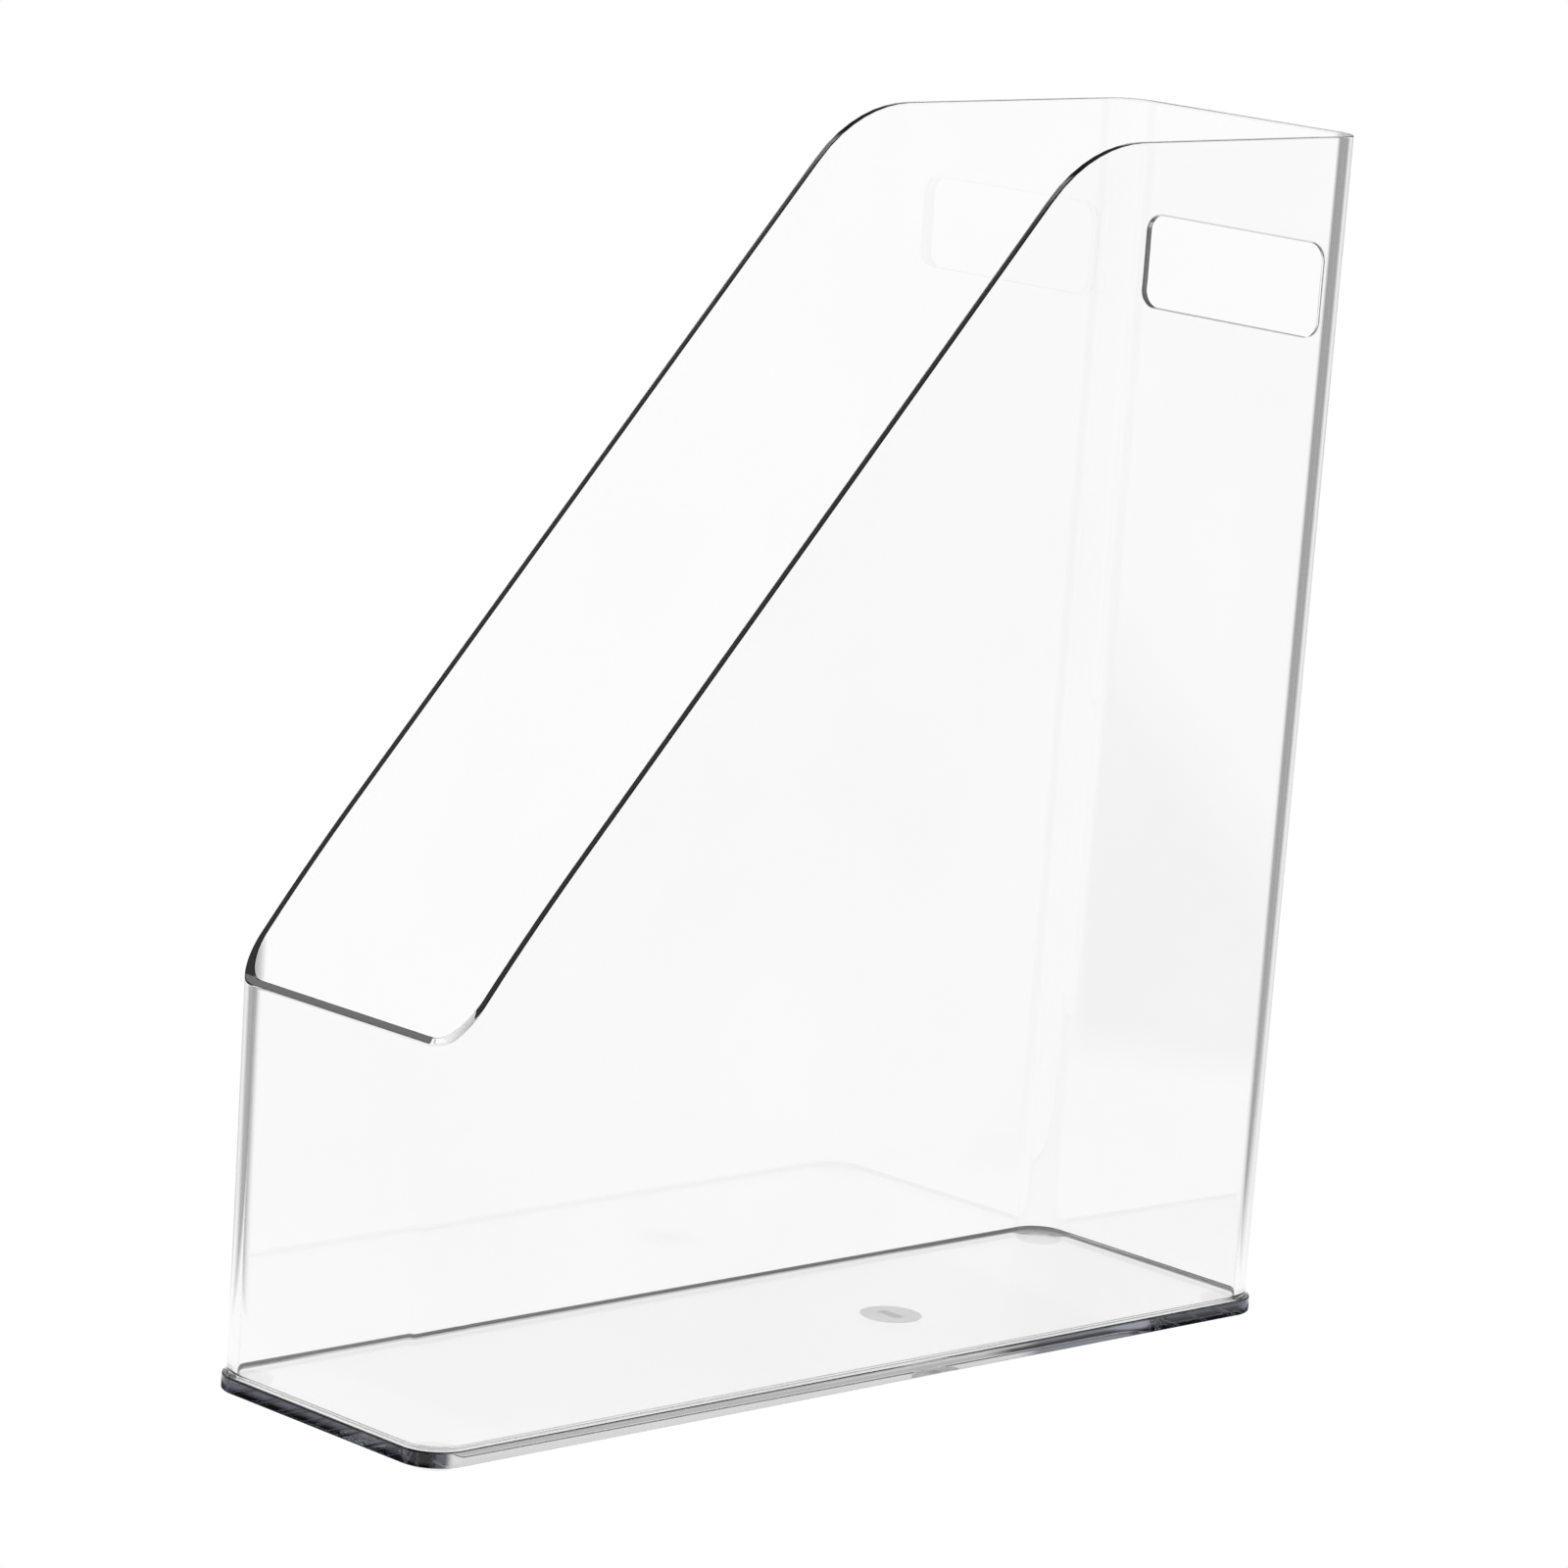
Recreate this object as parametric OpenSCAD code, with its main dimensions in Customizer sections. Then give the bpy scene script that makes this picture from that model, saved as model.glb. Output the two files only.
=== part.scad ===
// Clear upright magazine file: one moulded shell with slant-cut sides on a bonded base plate

/* [Shell] */
// outside width of the shell where it meets the base plate
body_w = 83; // [70:1:120]
// outside depth of the shell where it meets the base plate
body_d = 285.2; // [250:0.2:320]
// overall height from the desk to the flat top rim
height = 311; // [290:1:340]
// thickness of the four walls
wall = 2; // [1.6:0.2:3]
// outside radius of the four upright corners
corner_r = 9.2; // [6:0.2:14]
// how much larger the inside radius of the corners is than an even wall would give
corner_fill = 1; // [0:0.2:2]
// outward lean of the two long walls, in degrees
side_draft = 0.21; // [0.05:0.01:0.5]
// outward lean of the front and back walls, in degrees
end_draft = 0.54; // [0.1:0.02:1]

/* [Slant cut] */
// height of the outer front edge above the desk
front_h = 102.8; // [80:0.2:130]
// slope of the cut across the thickness of the front wall, in degrees
lip_deg = 38; // [20:1:45]
// how far behind the middle the line of the slant meets the flat top
slant_top_y = 45.4; // [20:0.2:70]
// radius where the slant runs into the flat top
top_bend_r = 42; // [20:1:60]
// length at the front over which the slant steepens
ease_len = 34; // [25:1:60]
// how far that drops the rim below the straight slant
ease_drop = 3.1; // [1:0.1:5]

/* [Hand slot] */
// width of the slot in the back wall
slot_w = 62.4; // [40:0.2:64]
// height of the slot
slot_h = 24.4; // [18:0.2:34]
// distance from the flat top down to the slot's middle
slot_down = 41.5; // [30:0.5:80]
// radius of the slot's corners
slot_r = 4.6; // [2:0.2:8]

/* [Base] */
// thickness of the base plate
plate_t = 4; // [3:0.2:6]
// how far the plate stands out past the shell all round
plate_out = 1.2; // [0.6:0.1:3]
// diameter of each foot pad
foot_d = 12; // [8:1:16]
// thickness of each foot pad
foot_t = 1; // [0.6:0.1:2.4]
// distance from a pad to the straight edges of the plate
foot_inset = 2.4; // [2.4:0.2:8]
// diameter of the frosted disc under the floor
disc_d = 16; // [10:0.5:24]
// thickness of the frosted disc
disc_t = 0.4; // [0.3:0.1:0.8]
// distance of the disc from the middle of the base, to the right
disc_x = 3; // [-10:1:10]
// distance of the disc from the middle of the base, to the back
disc_y = 44; // [0:1:90]

/* [Hidden] */
$fn = 96;
z0 = foot_t + plate_t;
hw = body_w / 2;
hd = body_d / 2;
plate_w = body_w + 2 * plate_out;
plate_d = body_d + 2 * plate_out;
// moves the middle of the whole outline onto y = 0, because the leaning back wall reaches past the plate
mid_y = (plate_out - (height - z0) * tan(end_draft)) / 2;
disc_gap = 0.1;
big = 400;
clear_col = [0.93, 0.96, 0.97, 0.35];

// a rectangle with rounded corners
module rounded_rect(w, d, r) {
  square([w, d - 2 * r], center = true);
  square([w - 2 * r, d], center = true);
  for (i = [-1, 1], j = [-1, 1])
    translate([i * (w / 2 - r), j * (d / 2 - r)]) circle(r = r);
}

// the quarter at +x and +y of a tall rounded block, tipped so that both its walls lean outward
module leaning_quarter(inset, zb, zt) {
  intersection() {
    translate([0, 0, zb]) cube([big, big, zt - zb]);
    translate([0, 0, z0])
      rotate([-end_draft, side_draft, 0])
        translate([0, 0, -30])
          linear_extrude(height = height + 60)
            rounded_rect(2 * (hw * cos(side_draft) - inset), 2 * (hd * cos(end_draft) - inset),
                         inset > 0 ? corner_r - inset + corner_fill : corner_r);
  }
}

// the whole block from z = zb to zt, its faces a given inset inside the outer ones
module leaning_block(inset, zb, zt) {
  for (i = [0, 1], j = [0, 1])
    mirror([i, 0, 0]) mirror([0, j, 0]) leaning_quarter(inset, zb, zt);
}

// what the slanted cut takes away, seen from the side, with the front to the left
module cut_profile() {
  // the lip's slope starts at the outer front edge and ends just behind the inner one
  yf = -(hd + (front_h - z0) * tan(end_draft));
  yi = yf + wall + 0.4;
  zi = front_h + (yi - yf) * tan(lip_deg);
  // the straight slant
  rise = height - zi - ease_drop;
  slant = atan(rise / (slant_top_y - yi));
  // the arc that leaves it and drops to the front wall
  ya = yi + ease_len;
  za = zi + ease_drop + ease_len * tan(slant);
  off = ease_drop * cos(slant);
  run = ease_len / cos(slant) + ease_drop * sin(slant);
  er = (run * run + off * off) / (2 * off);
  // the arc between the slant and the flat top
  tl = top_bend_r * tan(slant / 2);
  tc = [slant_top_y + tl, height - top_bend_r];
  difference() {
    polygon([[yf - 60, front_h - 60 * tan(lip_deg)], [yi, zi], [ya, za],
             [slant_top_y - tl * cos(slant), height - tl * sin(slant)], tc,
             [tc[0], height + 60], [yf - 60, height + 60]]);
    // each circle is a touch large, so that it crosses its neighbours cleanly
    translate(tc) circle(r = top_bend_r + 0.005, $fn = 180);
    translate([ya + er * sin(slant), za - er * cos(slant)]) circle(r = er + 0.01, $fn = 1440);
  }
}

module shell() {
  color(clear_col)
    translate([0, mid_y, 0])
      difference() {
        leaning_block(0, z0, height);
        leaning_block(wall, z0 - 5, height + 5);
        rotate([90, 0, 90])
          linear_extrude(height = big, center = true)
            cut_profile();
        translate([0, hd + 30, height - slot_down])
          rotate([90, 0, 0])
            linear_extrude(height = 60)
              rounded_rect(slot_w, slot_h, slot_r);
      }
}

module base_plate() {
  color(clear_col)
    translate([0, mid_y, foot_t])
      difference() {
        linear_extrude(height = plate_t)
          rounded_rect(plate_w, plate_d, corner_r + plate_out);
        translate([disc_x, disc_y, -1])
          cylinder(h = 1 + disc_t + disc_gap, d = disc_d + 2 * disc_gap);
      }
}

// one glued pad; i and j pick the corner
module foot(i, j) {
  e = foot_inset + foot_d / 2;
  color([0.9, 0.93, 0.94, 0.5])
    translate([i * (plate_w / 2 - e), mid_y + j * (plate_d / 2 - e), 0])
      cylinder(h = foot_t, d = foot_d);
}

module foot_front_left() { foot(-1, -1); }
module foot_front_right() { foot(1, -1); }
module foot_back_left() { foot(-1, 1); }
module foot_back_right() { foot(1, 1); }

module floor_disc() {
  color([0.85, 0.86, 0.87, 0.8])
    translate([disc_x, mid_y + disc_y, foot_t + disc_gap])
      cylinder(h = disc_t, d = disc_d);
}

shell();
base_plate();
foot_front_left();
foot_front_right();
foot_back_left();
foot_back_right();
floor_disc();
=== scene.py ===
import math
import bpy
import numpy as np
from mathutils import Matrix, Vector


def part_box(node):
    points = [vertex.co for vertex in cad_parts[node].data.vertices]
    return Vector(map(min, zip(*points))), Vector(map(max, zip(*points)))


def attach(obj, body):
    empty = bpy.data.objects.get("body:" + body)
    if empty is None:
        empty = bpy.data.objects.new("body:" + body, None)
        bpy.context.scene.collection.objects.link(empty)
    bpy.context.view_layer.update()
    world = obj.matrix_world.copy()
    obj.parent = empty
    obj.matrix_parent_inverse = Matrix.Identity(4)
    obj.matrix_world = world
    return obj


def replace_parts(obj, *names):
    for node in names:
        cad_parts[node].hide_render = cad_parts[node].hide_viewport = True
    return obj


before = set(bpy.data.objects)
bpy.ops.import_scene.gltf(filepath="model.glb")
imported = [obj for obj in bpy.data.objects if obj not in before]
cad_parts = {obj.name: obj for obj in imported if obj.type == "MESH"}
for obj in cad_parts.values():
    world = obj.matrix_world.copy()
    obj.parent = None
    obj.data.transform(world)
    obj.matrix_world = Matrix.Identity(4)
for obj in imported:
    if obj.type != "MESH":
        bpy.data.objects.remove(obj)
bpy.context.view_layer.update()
mm = 0.001

# places that several pieces share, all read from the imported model
shellLow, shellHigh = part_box("shell")
plateLow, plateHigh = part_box("base_plate")
discLow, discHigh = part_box("floor_disc")
plateMid = (plateLow + plateHigh) / 2


def link(obj):
    # puts a finished piece in the scene, on the one body
    bpy.context.scene.collection.objects.link(obj)
    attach(obj, "root")
    return obj


def meshFrom(name, points, faces):
    # a smooth mesh object from an array of points and a list of faces
    mesh = bpy.data.meshes.new(name)
    mesh.from_pydata(np.asarray(points, float).tolist(), [], [list(map(int, f)) for f in faces])
    mesh.validate()
    mesh.polygons.foreach_set("use_smooth", np.ones(len(mesh.polygons), bool))
    mesh.update()
    return bpy.data.objects.new(name, mesh)


def ringFaces(lower, upper):
    # quads between two closed rows of point numbers, running the same way round
    a, b = np.asarray(lower), np.asarray(upper)
    return np.stack([a, np.roll(a, -1), np.roll(b, -1), b], 1).tolist()


# ---- the rounded rectangle that every level of shell and plate follows

def outline(arcSteps, flatX, flatY):
    # unit data for a rounded rectangle, counter-clockwise from the right side's front end:
    # cu and cv give the place on the inner rectangle as shares of its half sides,
    # and (nx, ny) is the way out. flatX and flatY are shares along the flat sides.
    turn = np.linspace(0, math.pi / 2, arcSteps + 1)
    cu, cv, ang = [], [], []
    corners = [(1, -1), (1, 1), (-1, 1), (-1, -1)]
    for k, (sx, sy) in enumerate(corners):
        start = -math.pi / 2 + k * math.pi / 2
        cu += [sx] * (arcSteps + 1)
        cv += [sy] * (arcSteps + 1)
        ang += list(start + turn)
        nxt = corners[(k + 1) % 4]
        along = flatY if k % 2 == 0 else flatX
        cu += list(sx + (nxt[0] - sx) * np.asarray(along))
        cv += list(sy + (nxt[1] - sy) * np.asarray(along))
        ang += [start + math.pi / 2] * len(along)
    ang = np.array(ang)
    return np.array(cu), np.array(cv), np.round(np.cos(ang), 12), np.round(np.sin(ang), 12)


# ---- shell

shellSize = {
    "wall": 2.0 * mm,
    "cornerRadius": 9.2 * mm,      # outside
    "cornerFill": 1.0 * mm,        # how much larger the inside radius is than an even wall gives
    "sideLean": math.tan(math.radians(0.21)),
    "endLean": math.tan(math.radians(0.54)),
    "frontHeight": 102.8 * mm,     # outer front edge above the desk
    "lipSlope": math.tan(math.radians(38)),
    "slantTopY": 45.4 * mm,        # where the slant's line meets the flat top, behind the base's middle
    "topBend": 42 * mm,
    "easeLength": 34 * mm,
    "easeDrop": 3.1 * mm,
    "slotWidth": 62.4 * mm,
    "slotHeight": 24.4 * mm,
    "slotDown": 41.5 * mm,
    "slotRadius": 4.6 * mm,
    "edge": 0.3 * mm,              # how softly the rims are rounded
    "seamGap": 0.02 * mm,          # film of glue under the walls
    "bead": 0.8 * mm,              # fillet of glue along the walls' inner foot
}


def rimHeight(y):
    # height of the cut at a distance y behind the base's middle: a sloping lip over the front wall,
    # a long arc that eases into the straight slant, an arc into the flat top, then level
    s = shellSize
    top = shellHigh.z
    hd = shellHd()
    yFront = -(hd + (s["frontHeight"] - plateHigh.z) * s["endLean"])
    yLip = yFront + s["wall"] + 0.4 * mm
    zLip = s["frontHeight"] + (yLip - yFront) * s["lipSlope"]
    slope = (top - zLip - s["easeDrop"]) / (s["slantTopY"] - yLip)
    slant = math.atan(slope)
    yEase = yLip + s["easeLength"]
    zEase = zLip + s["easeDrop"] + s["easeLength"] * slope
    off = s["easeDrop"] * math.cos(slant)
    run = s["easeLength"] / math.cos(slant) + s["easeDrop"] * math.sin(slant)
    easeR = (run * run + off * off) / (2 * off)
    easeY, easeZ = yEase + easeR * math.sin(slant), zEase - easeR * math.cos(slant)
    tangent = s["topBend"] * math.tan(slant / 2)
    bendY, bendZ = s["slantTopY"] + tangent, top - s["topBend"]
    yBend = s["slantTopY"] - tangent * math.cos(slant)
    lip = s["frontHeight"] + (y - yFront) * s["lipSlope"]
    ease = easeZ + np.sqrt(np.maximum(easeR ** 2 - (y - easeY) ** 2, 0))
    line = zEase + (y - yEase) * slope
    bend = bendZ + np.sqrt(np.maximum(s["topBend"] ** 2 - (y - bendY) ** 2, 0))
    return np.select([y < yLip, y < yEase, y < yBend, y < bendY], [lip, ease, line, bend], top)


def shellHd():
    # half the shell's depth where it meets the plate, from the plate's own half depth
    return (plateHigh.y - plateLow.y) / 2 - plateOut


def shellHw():
    return (plateHigh.x - plateLow.x) / 2 - plateOut


plateOut = 1.2 * mm
plateZ = plateHigh.z


def shellPoint(form, inset, z):
    # points of the shell's surface at one inset from the outside, for an array of heights;
    # the inner rectangle grows with height, so the flat sides and the corners lean together
    s = shellSize
    cu, cv, nx, ny = form
    up = z - plateZ
    r = s["cornerRadius"] - inset + s["cornerFill"] * inset / s["wall"]
    a = shellHw() - inset - r + up * s["sideLean"]
    b = shellHd() - inset - r + up * s["endLean"]
    return np.stack([plateMid.x + cu * a + nx * r, plateMid.y + cv * b + ny * r, z], -1)


def rimLevel(form, inset):
    # height of the rim over each point of the outline, found by a few rounds of feeding back the lean
    z = np.full(len(form[0]), plateZ + 0.2)
    for _ in range(8):
        z = rimHeight(shellPoint(form, inset, z)[:, 1] - plateMid.y)
    return z


def spread(inner, ends):
    # shares along a flat side: close to both ends, where it meets the arcs, and even between
    return np.concatenate([ends, np.linspace(0, 1, inner + 2)[1:-1], 1 - ends[::-1]])


def slotSteps(length):
    # places from -1 to 1 along one side of the slot, close together where its corners are rounded
    corner = 2 * shellSize["slotRadius"] / length
    turn = np.linspace(1 - corner, 1, 9)
    return np.concatenate([-turn[::-1], np.linspace(corner - 1, 1 - corner, 9)[1:-1], turn])


def makeShell():
    s = shellSize
    edge, wall = s["edge"], s["wall"]
    # the flat back and front run in x; the slot's patch lies between two of their columns
    width = 2 * (shellHw() - s["cornerRadius"])
    patchW, patchH = s["slotWidth"] + 3 * mm, s["slotHeight"] + 5 * mm
    widthThere = width + 2 * (shellHigh.z - s["slotDown"] - plateZ) * s["sideLean"]
    flatX = 0.5 + slotSteps(s["slotWidth"]) * patchW / widthThere / 2
    flatY = spread(70, np.array([0.0012]))
    form = outline(20, flatX, flatY)
    count = len(form[0])
    # rows as shares of the way from the seam to the rim; the back's rim is level, so there
    # they are level too, and two of them bound the slot's patch
    rise = shellHigh.z - edge - plateZ - s["seamGap"]
    slotZ = shellHigh.z - s["slotDown"]
    low = (slotZ - patchH / 2 - plateZ - s["seamGap"]) / rise
    high = (slotZ + patchH / 2 - plateZ - s["seamGap"]) / rise
    inSlot = low + (high - low) * (slotSteps(s["slotHeight"]) + 1) / 2
    rows = np.concatenate([[0, 0.003], np.linspace(0.02, low, 24), inSlot[1:],
                           np.linspace(high, 0.985, 6)[1:], [0.998, 1]])
    firstRow, lastRow = int(np.argmin(abs(rows - low))), int(np.argmin(abs(rows - high)))
    points, faces = [], []

    def addLoop(xyz):
        start = sum(len(p) for p in points)
        points.append(xyz)
        return np.arange(start, start + len(xyz))

    def side(inset, foot):
        rim = rimLevel(form, inset) - edge
        base = plateZ + s["seamGap"] + foot * (1 - rows / rows[firstRow]).clip(0, 1)
        return [addLoop(shellPoint(form, inset, b + v * (rim - b))) for v, b in zip(rows, base)]

    outer, inner = side(0, edge), side(wall, s["bead"] * 1.02)
    # rounded crossing of the rim, and of the lower edge, as steps of (inset, how far below)
    arc = np.linspace(0, math.pi / 2, 5)[1:]
    crossing = [(edge * (1 - math.cos(t)), edge * (1 - math.sin(t))) for t in arc]
    steps = crossing + [(wall * 0.35, 0), (wall * 0.65, 0)] + [(wall - i, d) for i, d in crossing[::-1]]
    over = [addLoop(shellPoint(form, i, rimLevel(form, i) - d)) for i, d in steps]
    base = np.full(count, plateZ + s["seamGap"])
    bead = s["bead"]
    # the lower end: round the outer edge, run across under the wall and the bead, then up the bead's hollow
    lower = crossing + [(wall * 0.35, 0), (wall * 0.8, 0), (wall + bead * 0.7, 0), (wall + bead, 0)]
    hollow = np.linspace(0, math.pi / 2, 9)[1:]
    lower += [(wall + bead * (1 - math.sin(t)), bead * (1 - math.cos(t))) for t in hollow]
    under = [addLoop(shellPoint(form, i, base + d)) for i, d in lower]
    # back wall's columns: the flat stretch after the third corner's start
    perCorner = 21
    backStart = 2 * perCorner + len(flatY)
    cols = np.arange(backStart, backStart + len(flatX))
    hole = np.zeros(count, bool)
    hole[cols[:-1]] = True
    for k in range(len(rows) - 1):
        quadsOut = np.array(ringFaces(outer[k], outer[k + 1]))
        quadsIn = np.array(ringFaces(inner[k + 1], inner[k]))
        keep = ~hole if firstRow <= k < lastRow else np.ones(count, bool)
        faces += quadsOut[keep].tolist() + quadsIn[keep].tolist()
    chain = [outer[-1]] + over + [inner[-1]]
    for a, b in zip(chain[:-1], chain[1:]):
        faces += ringFaces(a, b)
    chain = [inner[0]] + under[::-1] + [outer[0]]
    for a, b in zip(chain[:-1], chain[1:]):
        faces += ringFaces(a, b)

    # the slot: rings that run from the patch's edge to the slot's rounded outline, through the wall and back
    def patchEdge(levels):
        grid = np.array([[levels[r][c] for c in cols] for r in range(firstRow, lastRow + 1)])
        return np.concatenate([grid[0, :-1], grid[:-1, -1], grid[-1, ::-1][:-1], grid[::-1, 0][:-1]])

    allPoints = np.concatenate(points)
    outEdge, inEdge = patchEdge(outer), patchEdge(inner)

    def slotOutline(edgePoints, grow):
        # each point of the patch's edge is drawn in to the slot's outline, rounded corners included
        hw, hh, r = s["slotWidth"] / 2 + grow, s["slotHeight"] / 2 + grow, s["slotRadius"] + grow
        x = (edgePoints[:, 0] - plateMid.x) / (abs(edgePoints[:, 0] - plateMid.x).max()) * hw
        z = (edgePoints[:, 2] - slotZ) / (patchH / 2) * hh
        cx, cz = np.clip(x, -(hw - r), hw - r), np.clip(z, -(hh - r), hh - r)
        dx, dz = x - cx, z - cz
        # in a corner the square's edge is turned onto the arc by angle
        corner = (abs(dx) > 1e-9) & (abs(dz) > 1e-9)
        share = np.where(abs(dx) > abs(dz), abs(dz) / np.maximum(abs(dx), 1e-12) / 2,
                         1 - abs(dx) / np.maximum(abs(dz), 1e-12) / 2)
        ang = share * math.pi / 2
        x = np.where(corner, cx + np.sign(dx) * r * np.cos(ang), x)
        z = np.where(corner, cz + np.sign(dz) * r * np.sin(ang), z)
        return x, z

    lean = s["endLean"]
    yOut = lambda z: plateMid.y + shellHd() + (z - plateZ) * lean
    loops = []
    turns = np.linspace(0, math.pi / 2, 5)
    stepsIn = [(edge + 0.06 * mm, 0)] + [(edge * (1 - math.sin(t)), edge * (1 - math.cos(t))) for t in turns]
    depth = [(g, d) for g, d in stepsIn] + [(0, wall * 0.35), (0, wall * 0.65)]
    depth += [(g, wall - d) for g, d in stepsIn[::-1]]
    for grow, into in depth:
        x, z = slotOutline(allPoints[outEdge], grow)
        z = slotZ + z
        xyz = np.stack([plateMid.x + x, yOut(z) - into, z], -1)
        loops.append(addLoop(xyz))
    chain = [outEdge] + loops + [inEdge]
    for a, b in zip(chain[:-1], chain[1:]):
        faces += ringFaces(a, b)
    shell = link(meshFrom("shell_clear", np.concatenate(points), faces))
    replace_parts(shell, "shell")
    return shell


# ---- base plate

plateSize = {
    "cornerRadius": shellSize["cornerRadius"] + plateOut,
    "topEdge": 0.45 * mm,
    "lowEdge": 0.3 * mm,
}


def slab(name, form, halfW, halfD, radius, low, high, lowEdge, topEdge, centre):
    # a flat slab with rounded upright corners and rounded edges, closed by its two faces
    cu, cv, nx, ny = form
    arc = np.linspace(0, math.pi / 2, 8)
    levels = [(lowEdge + 0.3 * mm, low)]
    levels += [(lowEdge * (1 - math.sin(t)), low + lowEdge * (1 - math.cos(t))) for t in arc]
    levels += [(0, low + lowEdge + 0.1 * mm), (0, high - topEdge - 0.1 * mm)]
    levels += [(topEdge * (1 - math.sin(t)), high - topEdge * (1 - math.cos(t))) for t in arc[::-1]]
    levels += [(topEdge + 0.3 * mm, high)]
    points = [np.stack([centre[0] + cu * (halfW - radius) + nx * (radius - inset),
                        centre[1] + cv * (halfD - radius) + ny * (radius - inset),
                        np.full(len(cu), z)], -1) for inset, z in levels]
    rings = [np.arange(len(cu)) + k * len(cu) for k in range(len(levels))]
    faces = []
    for a, b in zip(rings[:-1], rings[1:]):
        faces += ringFaces(a, b)
    faces.append(rings[-1].tolist())
    faces.append(rings[0][::-1].tolist())
    return meshFrom(name, np.concatenate(points), faces)


def makePlate():
    form = outline(20, spread(8, np.array([0.003])), spread(20, np.array([0.001])))
    plate = slab("base_plate_clear", form, (plateHigh.x - plateLow.x) / 2, (plateHigh.y - plateLow.y) / 2,
                 plateSize["cornerRadius"], plateLow.z, plateHigh.z, plateSize["lowEdge"],
                 plateSize["topEdge"], plateMid)
    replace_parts(link(plate), "base_plate")
    return plate


# ---- feet and disc

def roundPiece(name, profile, centre, steps=64):
    # a profile of (radius, height) pairs turned about an upright axis and closed at both ends
    turn = np.linspace(0, 2 * math.pi, steps, endpoint=False)
    points, rings = [], []
    for k, (r, z) in enumerate(profile):
        points.append(np.stack([centre[0] + r * np.cos(turn), centre[1] + r * np.sin(turn),
                                np.full(steps, z)], -1))
        rings.append(np.arange(k * steps, (k + 1) * steps))
    faces = []
    for a, b in zip(rings[:-1], rings[1:]):
        faces += ringFaces(a, b)
    faces.append(rings[-1].tolist())
    faces.append(rings[0][::-1].tolist())
    return meshFrom(name, np.concatenate(points), faces)


# cap is how far the flat end's outline lies inside the rounding
footSize = {"edge": 0.3 * mm, "cap": 0.5 * mm, "glue": 0.02 * mm}


def makeFoot(node):
    low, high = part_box(node)
    r, e = (high.x - low.x) / 2, footSize["edge"]
    cap, top = footSize["cap"], high.z - footSize["glue"]
    arc = np.linspace(0, math.pi / 2, 5)
    profile = [(r - e - cap, low.z)]
    profile += [(r - e + e * math.sin(t), low.z + e * (1 - math.cos(t))) for t in arc]
    profile += [(r - e + e * math.sin(t), top - e * (1 - math.cos(t))) for t in arc[::-1]]
    profile += [(r - e - cap, top)]
    foot = roundPiece(node + "_pad", profile, (low + high) / 2)
    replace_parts(link(foot), node)
    return foot


# the disc is sunk into the plate, from lift to bond above the plate's underside
discSize = {"lift": 0.03 * mm, "bond": 0.25 * mm, "edge": 0.08 * mm, "cap": 0.6 * mm}


def makeDisc():
    r, e, cap = (discHigh.x - discLow.x) / 2, discSize["edge"], discSize["cap"]
    low, high = plateLow.z + discSize["lift"], plateLow.z + discSize["bond"]
    profile = [(r - cap, low), (r - e, low), (r, low + e)]
    profile += [(r, high - e), (r - e, high), (r - cap, high)]
    disc = roundPiece("floor_disc_frosted", profile, (discLow + discHigh) / 2, 96)
    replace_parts(link(disc), "floor_disc")
    return disc


# ---- materials

class Nodes:
    # short calls for building a node tree

    def __init__(self, tree):
        self.tree = tree
        self.new = tree.nodes.new

    def put(self, socket, value):
        if isinstance(value, bpy.types.NodeSocket):
            self.tree.links.new(value, socket)
        else:
            socket.default_value = value

    def math(self, kind, *values, clamp=False):
        node = self.new("ShaderNodeMath")
        node.operation = kind
        node.use_clamp = clamp
        for socket, value in zip(node.inputs, values):
            self.put(socket, value)
        return node.outputs[0]

    def ramp(self, value, stops, low, high):
        # a value looked up along (place, tone) pairs that run from low to high
        node = self.new("ShaderNodeValToRGB")
        els = node.color_ramp.elements
        els.remove(els[1])
        els[0].position = 0.0
        els[0].color = (stops[0][1],) * 3 + (1,)
        for place, tone in stops[1:]:
            els.new((place - low) / (high - low)).color = (tone, tone, tone, 1)
        share = self.math("DIVIDE", self.math("SUBTRACT", value, low), high - low)
        self.put(node.inputs["Fac"], share)
        return node.outputs["Color"]

    def turned(self, x, y):
        # the same place or direction as distances ahead and to the right, as the lights are set out
        turn = math.radians(stageLook["facing"])
        c, d = math.cos(turn), math.sin(turn)
        ahead = self.math("ADD", self.math("MULTIPLY", x, -d), self.math("MULTIPLY", y, c))
        right = self.math("ADD", self.math("MULTIPLY", x, c), self.math("MULTIPLY", y, d))
        return ahead, right

    def azimuth(self, x, y):
        # degrees to the right of straight ahead, -180 to 180
        ahead, right = self.turned(x, y)
        return self.math("MULTIPLY", self.math("ARCTAN2", right, ahead), 180 / math.pi)

    def plainRay(self):
        # 1 for rays that come straight from the camera or light a matt surface
        path = self.new("ShaderNodeLightPath")
        return self.math("MAXIMUM", path.outputs["Is Camera Ray"], path.outputs["Is Diffuse Ray"])


clearLook = {
    "ior": 1.5,
    "tint": (0.99, 0.99, 0.99, 1),
    "absorbColour": (0.9, 0.9, 0.905, 1),
    "shellDensity": 55.0,
    "plateDensity": 15.0,
}


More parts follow.
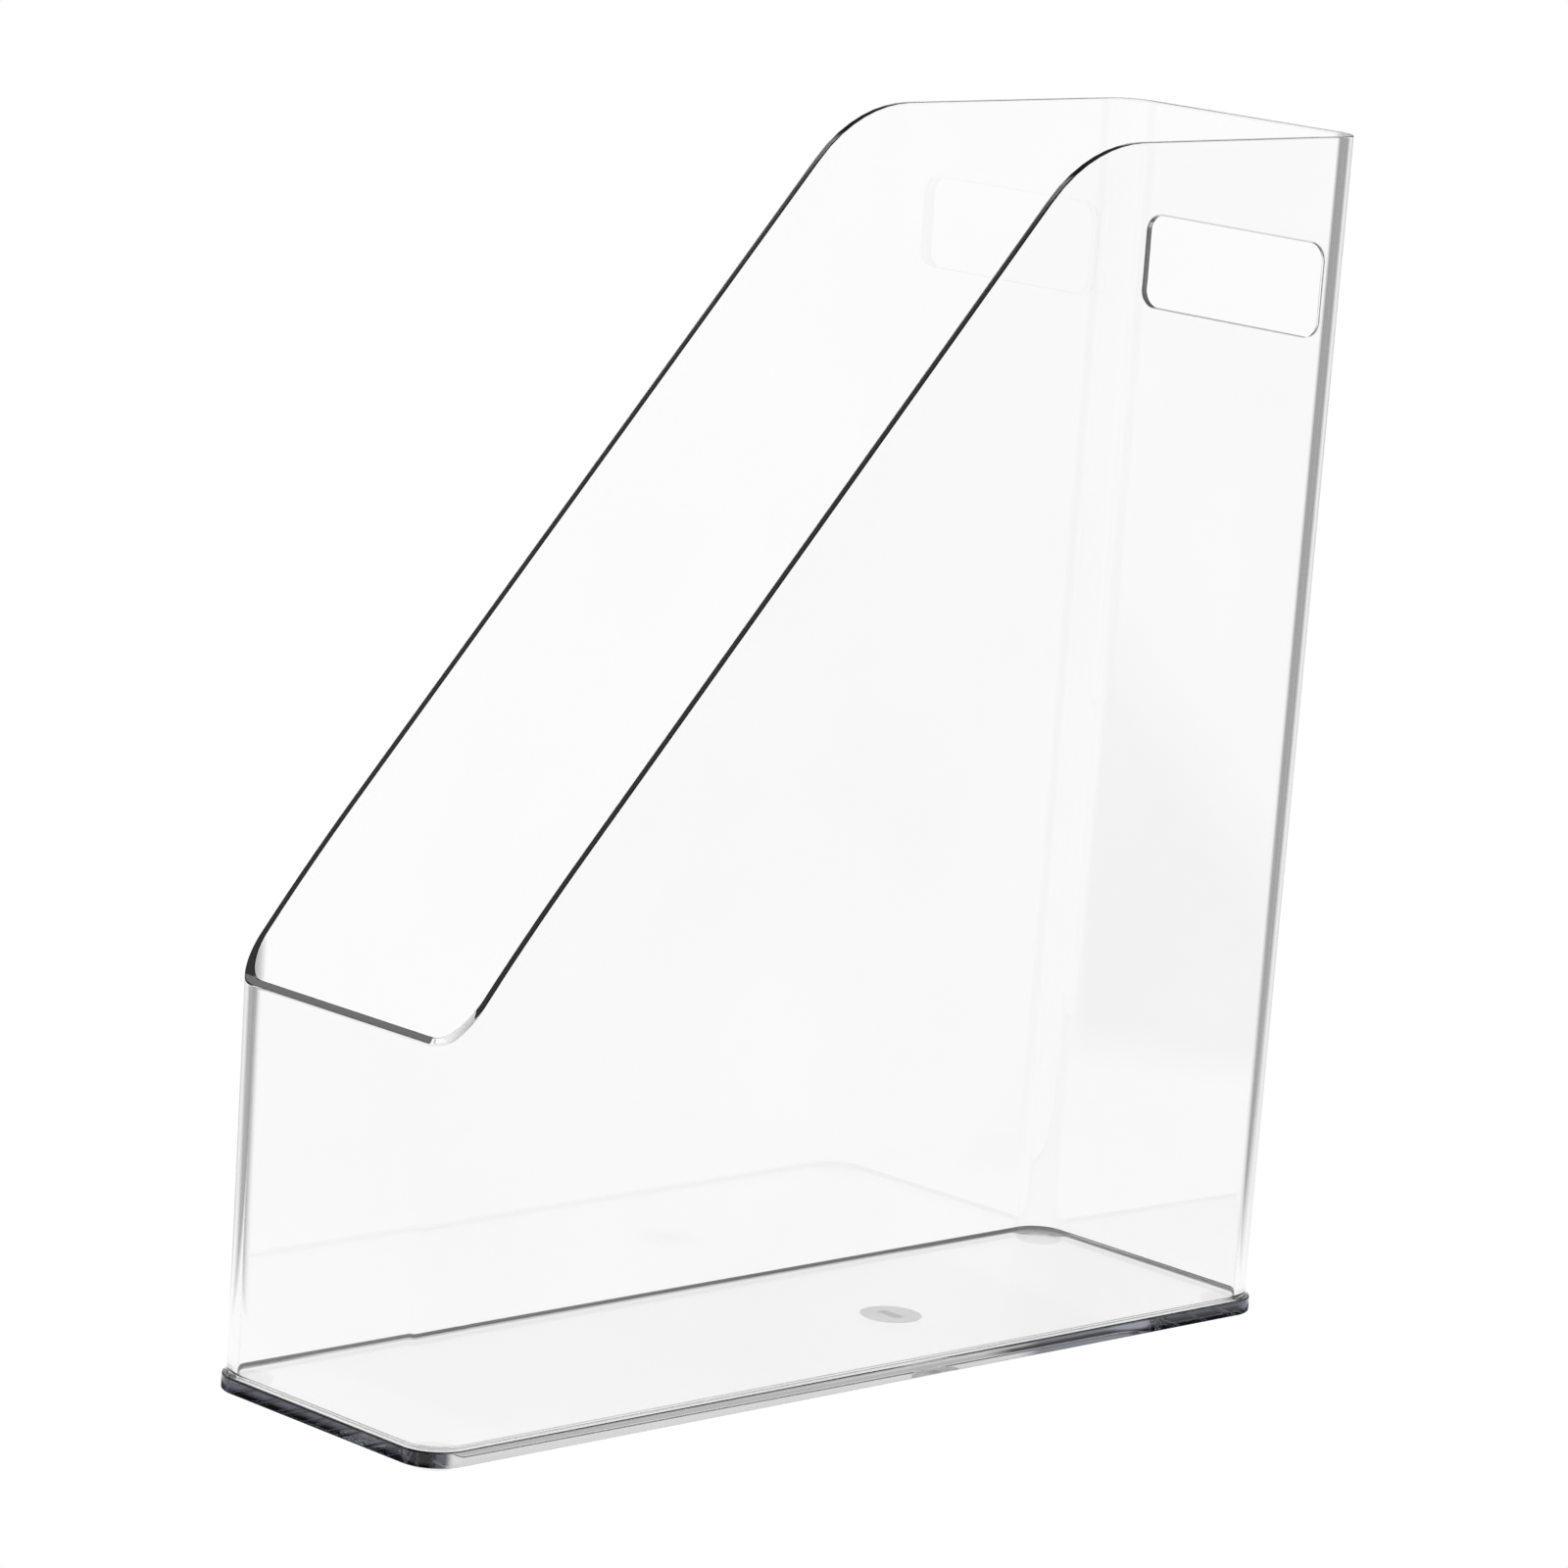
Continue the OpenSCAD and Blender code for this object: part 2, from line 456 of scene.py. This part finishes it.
def clearMaterial(name, density):
    mat = bpy.data.materials.new(name)
    mat.use_nodes = True
    nodes, links = mat.node_tree.nodes, mat.node_tree.links
    bsdf = nodes["Principled BSDF"]
    bsdf.inputs["Base Color"].default_value = clearLook["tint"]
    bsdf.inputs["IOR"].default_value = clearLook["ior"]
    bsdf.inputs["Transmission Weight"].default_value = 1.0
    absorb = nodes.new("ShaderNodeVolumeAbsorption")
    absorb.inputs["Color"].default_value = clearLook["absorbColour"]
    absorb.inputs["Density"].default_value = density
    links.new(absorb.outputs["Volume"], nodes["Material Output"].inputs["Volume"])
    return mat


# colours and masks for painted shade on the plate's edges and the shell's rim, and for the darker bar on the
# disc
markAndShadeLook = {
    # painted shade on the base plate's edge faces
    "plateShadeColour": (0.1, 0.11, 0.15, 1),
    # painted shade on the shell's rim, far darker round its low front corners
    "rim": (0.86, 0.86, 0.87, 1),
    "rimCornerShadeColour": (0.3, 0.3, 0.31, 1),
    "bar": (0.5, 0.51, 0.54, 1),
    "backFrom": (97 * mm, 104 * mm),      # where the painted shade on the back end of the long edges fades in
    "rimAbove": 90 * mm,                  # higher than this, what faces up is the rim or the slot's sill
    "cornerBelow": 118 * mm,
    "cornerFrom": (37 * mm, 41 * mm),     # how far from the middle line the corner's painted shade fades in
    "barLength": (0.2, 0.27),             # half sizes and soft ends, as shares of the disc's diameter
    "barWidth": (0.06, 0.12),
}


def mixMarkOrShade(n, bsdf, share, tint):
    # blends the base colour towards a given colour where share is 1, for painted shade on the clear pieces
    # and for the disc's darker bar
    base = bsdf.inputs["Base Color"]
    mix = n.new("ShaderNodeMix")
    mix.data_type = "RGBA"
    n.put(mix.inputs["Factor"], share)
    n.put(mix.inputs["A"], base.links[0].from_socket if base.links else tuple(base.default_value))
    mix.inputs["B"].default_value = tint
    n.put(base, mix.outputs["Result"])


def faceParts(n):
    # the face direction and the place on the piece, as separate axes
    shape, coords = n.new("ShaderNodeNewGeometry"), n.new("ShaderNodeTexCoord")
    facing, place = n.new("ShaderNodeSeparateXYZ"), n.new("ShaderNodeSeparateXYZ")
    n.put(facing.inputs[0], shape.outputs["Normal"])
    n.put(place.inputs[0], coords.outputs["Object"])
    return facing.outputs, place.outputs


def paintPlateShade(mat):
    # painted shade: darkens the front and back edge faces, the corners and the back end of the long edges,
    # standing in for the dark look the clear plate's edges take from the room
    n = Nodes(mat.node_tree)
    facing, place = faceParts(n)
    ends = n.ramp(n.math("ABSOLUTE", facing["Y"]), [(0, 0), (0.25, 0), (0.45, 1), (1, 1)], 0, 1)
    upright = n.ramp(n.math("ABSOLUTE", facing["Z"]), [(0, 1), (0.3, 1), (0.6, 0), (1, 0)], 0, 1)
    first, full = markAndShadeLook["backFrom"]
    back = n.ramp(place["Y"], [(-0.2, 0), (first, 0), (full, 1), (0.2, 1)], -0.2, 0.2)
    share = n.math("MAXIMUM", ends, n.math("MULTIPLY", upright, back))
    mixMarkOrShade(n, mat.node_tree.nodes["Principled BSDF"], share, markAndShadeLook["plateShadeColour"])


def paintRimShade(mat):
    # painted shade: the cut rim's upward faces are darkened a little, most of all round the low front
    # corners
    n = Nodes(mat.node_tree)
    facing, place = faceParts(n)
    upward = n.ramp(facing["Z"], [(-1, 0), (0.05, 0), (0.2, 1), (1, 1)], -1, 1)
    rim = n.math("MULTIPLY", upward, n.math("GREATER_THAN", place["Z"], markAndShadeLook["rimAbove"]))
    bsdf = mat.node_tree.nodes["Principled BSDF"]
    mixMarkOrShade(n, bsdf, rim, markAndShadeLook["rim"])
    low = n.math("LESS_THAN", place["Z"], markAndShadeLook["cornerBelow"])
    first, full = markAndShadeLook["cornerFrom"]
    across = n.ramp(n.math("ABSOLUTE", place["X"]), [(0, 0), (first, 0), (full, 1), (0.1, 1)], 0, 0.1)
    corner = n.math("MULTIPLY", n.math("MULTIPLY", rim, low), across)
    mixMarkOrShade(n, bsdf, corner, markAndShadeLook["rimCornerShadeColour"])


def markTint(mat):
    # a plain darker bar across the middle of the disc
    n = Nodes(mat.node_tree)
    place = faceParts(n)[1]
    mid = (discLow + discHigh) / 2
    span = discHigh.x - discLow.x
    x = n.math("DIVIDE", n.math("ABSOLUTE", n.math("SUBTRACT", place["X"], mid.x)), span)
    y = n.math("DIVIDE", n.math("ABSOLUTE", n.math("SUBTRACT", place["Y"], mid.y)), span)
    (full, last), (fullAcross, lastAcross) = markAndShadeLook["barLength"], markAndShadeLook["barWidth"]
    along = n.ramp(x, [(0, 1), (full, 1), (last, 0), (1, 0)], 0, 1)
    across = n.ramp(y, [(0, 1), (fullAcross, 1), (lastAcross, 0), (1, 0)], 0, 1)
    bar = n.math("MULTIPLY", along, across)
    mixMarkOrShade(n, mat.node_tree.nodes["Principled BSDF"], bar, markAndShadeLook["bar"])


padLook = {"colour": (0.8, 0.82, 0.84, 1), "alpha": 0.06}
# the frosted disc's colour, how much light it lets through, and a faint painted glow
discLook = {"colour": (0.96, 0.96, 0.97, 1), "through": 0.85, "paintedGlow": 0.07}


def padMaterial():
    mat = bpy.data.materials.new("clear_pad")
    mat.use_nodes = True
    bsdf = mat.node_tree.nodes["Principled BSDF"]
    bsdf.inputs["Base Color"].default_value = padLook["colour"]
    bsdf.inputs["Alpha"].default_value = padLook["alpha"]
    return mat


def frostedMaterial():
    mat = bpy.data.materials.new("frosted")
    mat.use_nodes = True
    bsdf = mat.node_tree.nodes["Principled BSDF"]
    bsdf.inputs["Base Color"].default_value = discLook["colour"]
    bsdf.inputs["Transmission Weight"].default_value = discLook["through"]
    # painted light: a faint glow makes the frosted disc brighter than its lighting would, though it is no
    # lamp
    bsdf.inputs["Emission Color"].default_value = (1, 1, 1, 1)
    bsdf.inputs["Emission Strength"].default_value = discLook["paintedGlow"]
    return mat


# clouding of the colour and roughness, and a fine grain as a bump height in metres
wearLook = {
    "clear": {"cloud": 16.0, "grain": 300.0, "shade": 0.012, "rough": (0.0, 0.004), "height": 0.0000002},
    "pad": {"cloud": 200.0, "grain": 1500.0, "shade": 0.1, "rough": (0.2, 0.35), "height": 0.00001},
    "frosted": {"cloud": 120.0, "grain": 2500.0, "shade": 0.06, "rough": (0.4, 0.55), "height": 0.00002},
}


def makeWear():
    # cloud and grain patterns shared by all the plastics
    tree = bpy.data.node_groups.new("plasticWear", "ShaderNodeTree")
    tree.interface.new_socket("Vector", in_out="INPUT", socket_type="NodeSocketVector")
    for name in ("Cloud Scale", "Grain Scale"):
        tree.interface.new_socket(name, in_out="INPUT", socket_type="NodeSocketFloat")
    for name in ("Cloud", "Grain"):
        tree.interface.new_socket(name, in_out="OUTPUT", socket_type="NodeSocketFloat")
    n = Nodes(tree)
    take, give = n.new("NodeGroupInput"), n.new("NodeGroupOutput")
    for name in ("Cloud", "Grain"):
        noise = n.new("ShaderNodeTexNoise")
        noise.inputs["Detail"].default_value = 3.0
        n.put(noise.inputs["Vector"], take.outputs["Vector"])
        n.put(noise.inputs["Scale"], take.outputs[name + " Scale"])
        n.put(give.inputs[name], noise.outputs["Fac"])
    return tree


def addWear(mat, wear, kind):
    # lays the patterns over a finished material
    look = wearLook[kind]
    n = Nodes(mat.node_tree)
    bsdf = mat.node_tree.nodes["Principled BSDF"]
    group = n.new("ShaderNodeGroup")
    group.node_tree = wear
    coords = n.new("ShaderNodeTexCoord")
    n.put(group.inputs["Vector"], coords.outputs["Object"])
    n.put(group.inputs["Cloud Scale"], look["cloud"])
    n.put(group.inputs["Grain Scale"], look["grain"])
    cloud = n.ramp(group.outputs["Cloud"], [(0, 0), (0.35, 0), (0.65, 1), (1, 1)], 0, 1)
    mix = n.new("ShaderNodeMix")
    mix.data_type = "RGBA"
    mix.blend_type = "MULTIPLY"
    n.put(mix.inputs["Factor"], n.math("MULTIPLY", cloud, look["shade"]))
    base = bsdf.inputs["Base Color"]
    n.put(mix.inputs["A"], base.links[0].from_socket if base.links else tuple(base.default_value))
    mix.inputs["B"].default_value = (0, 0, 0, 1)
    n.put(base, mix.outputs["Result"])
    low, high = look["rough"]
    n.put(bsdf.inputs["Roughness"], n.math("ADD", n.math("MULTIPLY", cloud, high - low), low))
    bump = n.new("ShaderNodeBump")
    bump.inputs["Strength"].default_value = 1.0
    bump.inputs["Distance"].default_value = 1.0
    n.put(bump.inputs["Height"], n.math("MULTIPLY", group.outputs["Grain"], look["height"]))
    n.put(bsdf.inputs["Normal"], bump.outputs["Normal"])


print("building the pieces")
shell = makeShell()
plate = makePlate()
feet = [makeFoot(n) for n in ("foot_front_left", "foot_front_right", "foot_back_left", "foot_back_right")]
disc = makeDisc()

print("materials")
wear = makeWear()
shellMat = clearMaterial("clear_shell", clearLook["shellDensity"])
plateMat = clearMaterial("clear_base", clearLook["plateDensity"])
paintPlateShade(plateMat)
paintRimShade(shellMat)
padMat, discMat = padMaterial(), frostedMaterial()
markTint(discMat)
for mat, kind in ((shellMat, "clear"), (plateMat, "clear"), (padMat, "pad"), (discMat, "frosted")):
    addWear(mat, wear, kind)
shell.data.materials.append(shellMat)
plate.data.materials.append(plateMat)
for f in feet:
    f.data.materials.append(padMat)
disc.data.materials.append(discMat)

# ---- stage, light and camera

stageLook = {
    "floorSize": 12.0,
    "facing": 46.34,          # azimuth that the lights are set out for, in degrees
    # dark patches of the table behind the piece, on the left and right, with lengths in metres
    "patchStart": (-0.02, 0.08),      # how far ahead they begin, left and right
    "patchInner": 0.13,               # how far to the side they begin
    "patchSpread": 0.12,              # how much their borders open out with distance
    "patchSoft": 0.04,
    "patchFade": 0.3,                 # how much softer the inner border gets with distance
    "patchTone": 0.3,
    # tone of the room up to about 20 degrees above the horizon,
    # as (degrees to the right of straight ahead, tone)
    "lowTones": [(-180, 0.4), (-140, 0.3), (-115, 0.02), (-65, 0.02), (-45, 0.3), (-20, 0.4), (-14, 1),
                 (14, 1), (20, 0.4), (60, 0.3), (70, 1), (110, 1), (120, 0.4), (180, 0.4)],
    # and from there to about 50 degrees, with one bright panel on the left
    "midTones": [(-180, 0.2), (-110, 0.2), (-75, 0.7), (-58, 0.7), (-53, 2.8), (-38, 2.8), (-32, 0.15),
                 (20, 0.15), (60, 0.1), (75, 0.6), (105, 0.6), (120, 0.2), (180, 0.2)],
    "panel": 3.0,             # what the middle tones are scaled by while they sit in a ramp
    "high": 0.1,
    "cornerSoft": 2 * mm,
    "cornerReach": 3.5,       # how much further in the shadow comes at the corners, in mm
    # tone of the table close to the base plate, as (metres towards the back, tone)
    "shadow": [(-0.2, 0.06), (-0.118, 0.06), (-0.105, 0.5), (0.09, 0.5), (0.1, 0.03), (0.2, 0.03)],
}


def makeFloor():
    h = stageLook["floorSize"] / 2
    floor = meshFrom("floor", [(-h, -h, 0), (h, -h, 0), (h, h, 0), (-h, h, 0)], [(0, 1, 2, 3)])
    bpy.context.scene.collection.objects.link(floor)
    mat = bpy.data.materials.new("whiteTable")
    mat.use_nodes = True
    n = Nodes(mat.node_tree)
    bsdf = mat.node_tree.nodes["Principled BSDF"]
    bsdf.inputs["Base Color"].default_value = (0.0, 0.0, 0.0, 1)
    bsdf.inputs["Roughness"].default_value = 1.0
    bsdf.inputs["Specular IOR Level"].default_value = 0.0
    bsdf.inputs["Emission Color"].default_value = (1, 1, 1, 1)
    coords = n.new("ShaderNodeTexCoord")
    split = n.new("ShaderNodeSeparateXYZ")
    n.put(split.inputs[0], coords.outputs["Object"])
    x, y = split.outputs["X"], split.outputs["Y"]
    # distance outside the base plate's outline, in mm
    r = plateSize["cornerRadius"]
    half = (plateHigh - plateLow) / 2
    fromMid = n.math("SUBTRACT", y, plateMid.y)
    dx = n.math("MAXIMUM", n.math("SUBTRACT", n.math("ABSOLUTE", x), half.x - r), 0.0)
    dy = n.math("MAXIMUM", n.math("SUBTRACT", n.math("ABSOLUTE", fromMid), half.y - r), 0.0)
    off = n.math("SQRT", n.math("ADD", n.math("MULTIPLY", dx, dx), n.math("MULTIPLY", dy, dy)))
    off = n.math("MULTIPLY", n.math("SUBTRACT", off, r), 1000.0)
    # the shadow is wider under the rounded corners, where the pads are, and darkest at the two ends
    cornered = n.math("DIVIDE", n.math("MINIMUM", dx, dy), stageLook["cornerSoft"])
    cornered = n.math("MINIMUM", cornered, 1.0)
    reach = n.math("ADD", off, n.math("MULTIPLY", cornered, stageLook["cornerReach"]))
    under = n.ramp(reach, [(-10, 1.08), (-1, 1.08), (0.5, 0), (30, 0)], -10, 30)
    beyond = n.ramp(off, [(-10, 0), (5, 0), (8, 1), (30, 1)], -10, 30)
    shadow = n.ramp(fromMid, stageLook["shadow"], -0.2, 0.2)
    lit = n.math("MAXIMUM", under, beyond)
    tone = n.math("ADD", n.math("MULTIPLY", lit, n.math("SUBTRACT", 1.0, shadow)), shadow)
    # a dark patch on either side behind the piece, seen mostly through its upright corners
    ahead, right = n.turned(x, y)
    side = n.math("ABSOLUTE", right)
    onRight = n.math("GREATER_THAN", right, 0.0)
    grow, soft = stageLook["patchSpread"], stageLook["patchSoft"]
    leftStart, rightStart = stageLook["patchStart"]
    outerStart = n.math("ADD", n.math("MULTIPLY", onRight, rightStart - leftStart), leftStart)
    inner = n.math("SUBTRACT", side, n.math("ADD", n.math("MULTIPLY", ahead, grow), stageLook["patchInner"]))
    fade = n.math("MULTIPLY", n.math("MAXIMUM", ahead, 0.0), stageLook["patchFade"])
    inner = n.math("DIVIDE", inner, n.math("ADD", fade, soft))
    outer = n.math("SUBTRACT", ahead, n.math("ADD", n.math("MULTIPLY", side, grow), outerStart))
    patch = n.math("MINIMUM", inner, n.math("DIVIDE", outer, soft), clamp=True)
    loss = n.math("MULTIPLY", patch, 1 - stageLook["patchTone"])
    tone = n.math("MULTIPLY", tone, n.math("SUBTRACT", 1.0, loss))
    n.put(bsdf.inputs["Emission Strength"], n.math("MAXIMUM", tone, n.plainRay()))
    floor.data.materials.append(mat)
    return floor


def makeWorld():
    # white to the camera; to the clear pieces a room with bright and dark sides
    world = bpy.data.worlds.new("studio")
    bpy.context.scene.world = world
    world.use_nodes = True
    n = Nodes(world.node_tree)
    world.node_tree.nodes.clear()
    out = n.new("ShaderNodeOutputWorld")
    back = n.new("ShaderNodeBackground")
    coords = n.new("ShaderNodeTexCoord")
    split = n.new("ShaderNodeSeparateXYZ")
    n.put(split.inputs[0], coords.outputs["Generated"])
    az = n.azimuth(split.outputs["X"], split.outputs["Y"])
    scaled = [(place, tone / stageLook["panel"]) for place, tone in stageLook["midTones"]]
    low = n.ramp(az, stageLook["lowTones"], -180, 180)
    mid = n.math("MULTIPLY", n.ramp(az, scaled, -180, 180), stageLook["panel"])
    up = split.outputs["Z"]
    tablePart = n.ramp(up, [(-1, 1), (-0.01, 1), (0.01, 0), (1, 0)], -1, 1)
    aboveMid = n.ramp(up, [(-1, 0), (0.3, 0), (0.38, 1), (1, 1)], -1, 1)
    highPart = n.ramp(up, [(-1, 0), (0.76, 0), (0.84, 1), (1, 1)], -1, 1)
    midPart = n.math("SUBTRACT", aboveMid, highPart)
    lowPart = n.math("SUBTRACT", n.math("SUBTRACT", 1.0, tablePart), aboveMid)
    tone = n.math("ADD", n.math("MULTIPLY", low, lowPart), n.math("MULTIPLY", mid, midPart))
    tone = n.math("ADD", tone, tablePart)
    tone = n.math("ADD", tone, n.math("MULTIPLY", highPart, stageLook["high"]))
    plain = n.plainRay()
    shown = n.math("ADD", n.math("MULTIPLY", tone, n.math("SUBTRACT", 1.0, plain)), plain)
    n.put(back.inputs["Strength"], shown)
    n.put(out.inputs["Surface"], back.outputs[0])


cameraSet = {
    "azimuth": 46.34,
    "elevation": 11.173,
    "roll": 4.016,
    "distance": 1.74945,
    "target": (-7.357 * mm, -0.842 * mm, 145.63 * mm),
    "lens": 160.49,
    "shift": (0.00667, -0.00135),
}


def makeCamera():
    c = cameraSet
    a, e, roll = (math.radians(c[k]) for k in ("azimuth", "elevation", "roll"))
    forward = Vector((-math.sin(a) * math.cos(e), math.cos(a) * math.cos(e), -math.sin(e)))
    right = forward.cross(Vector((0, 0, 1))).normalized()
    up = right.cross(forward)
    right, up = right * math.cos(roll) + up * math.sin(roll), up * math.cos(roll) - right * math.sin(roll)
    data = bpy.data.cameras.new("camera")
    data.lens, data.sensor_width = c["lens"], 36.0
    data.shift_x, data.shift_y = c["shift"]
    data.clip_start, data.clip_end = 0.01, 100
    cam = bpy.data.objects.new("camera", data)
    place = Vector(c["target"]) - forward * c["distance"]
    turn = Matrix((right, up, -forward)).transposed().to_4x4()
    cam.matrix_world = Matrix.Translation(place) @ turn
    bpy.context.scene.collection.objects.link(cam)
    bpy.context.scene.camera = cam


makeFloor()
makeWorld()
makeCamera()

scene = bpy.context.scene
scene.view_settings.view_transform = "Standard"
scene.view_settings.look = "None"
scene.cycles.max_bounces = 24
scene.cycles.transmission_bounces = 24
scene.cycles.glossy_bounces = 24
scene.cycles.diffuse_bounces = 4
scene.cycles.transparent_max_bounces = 16
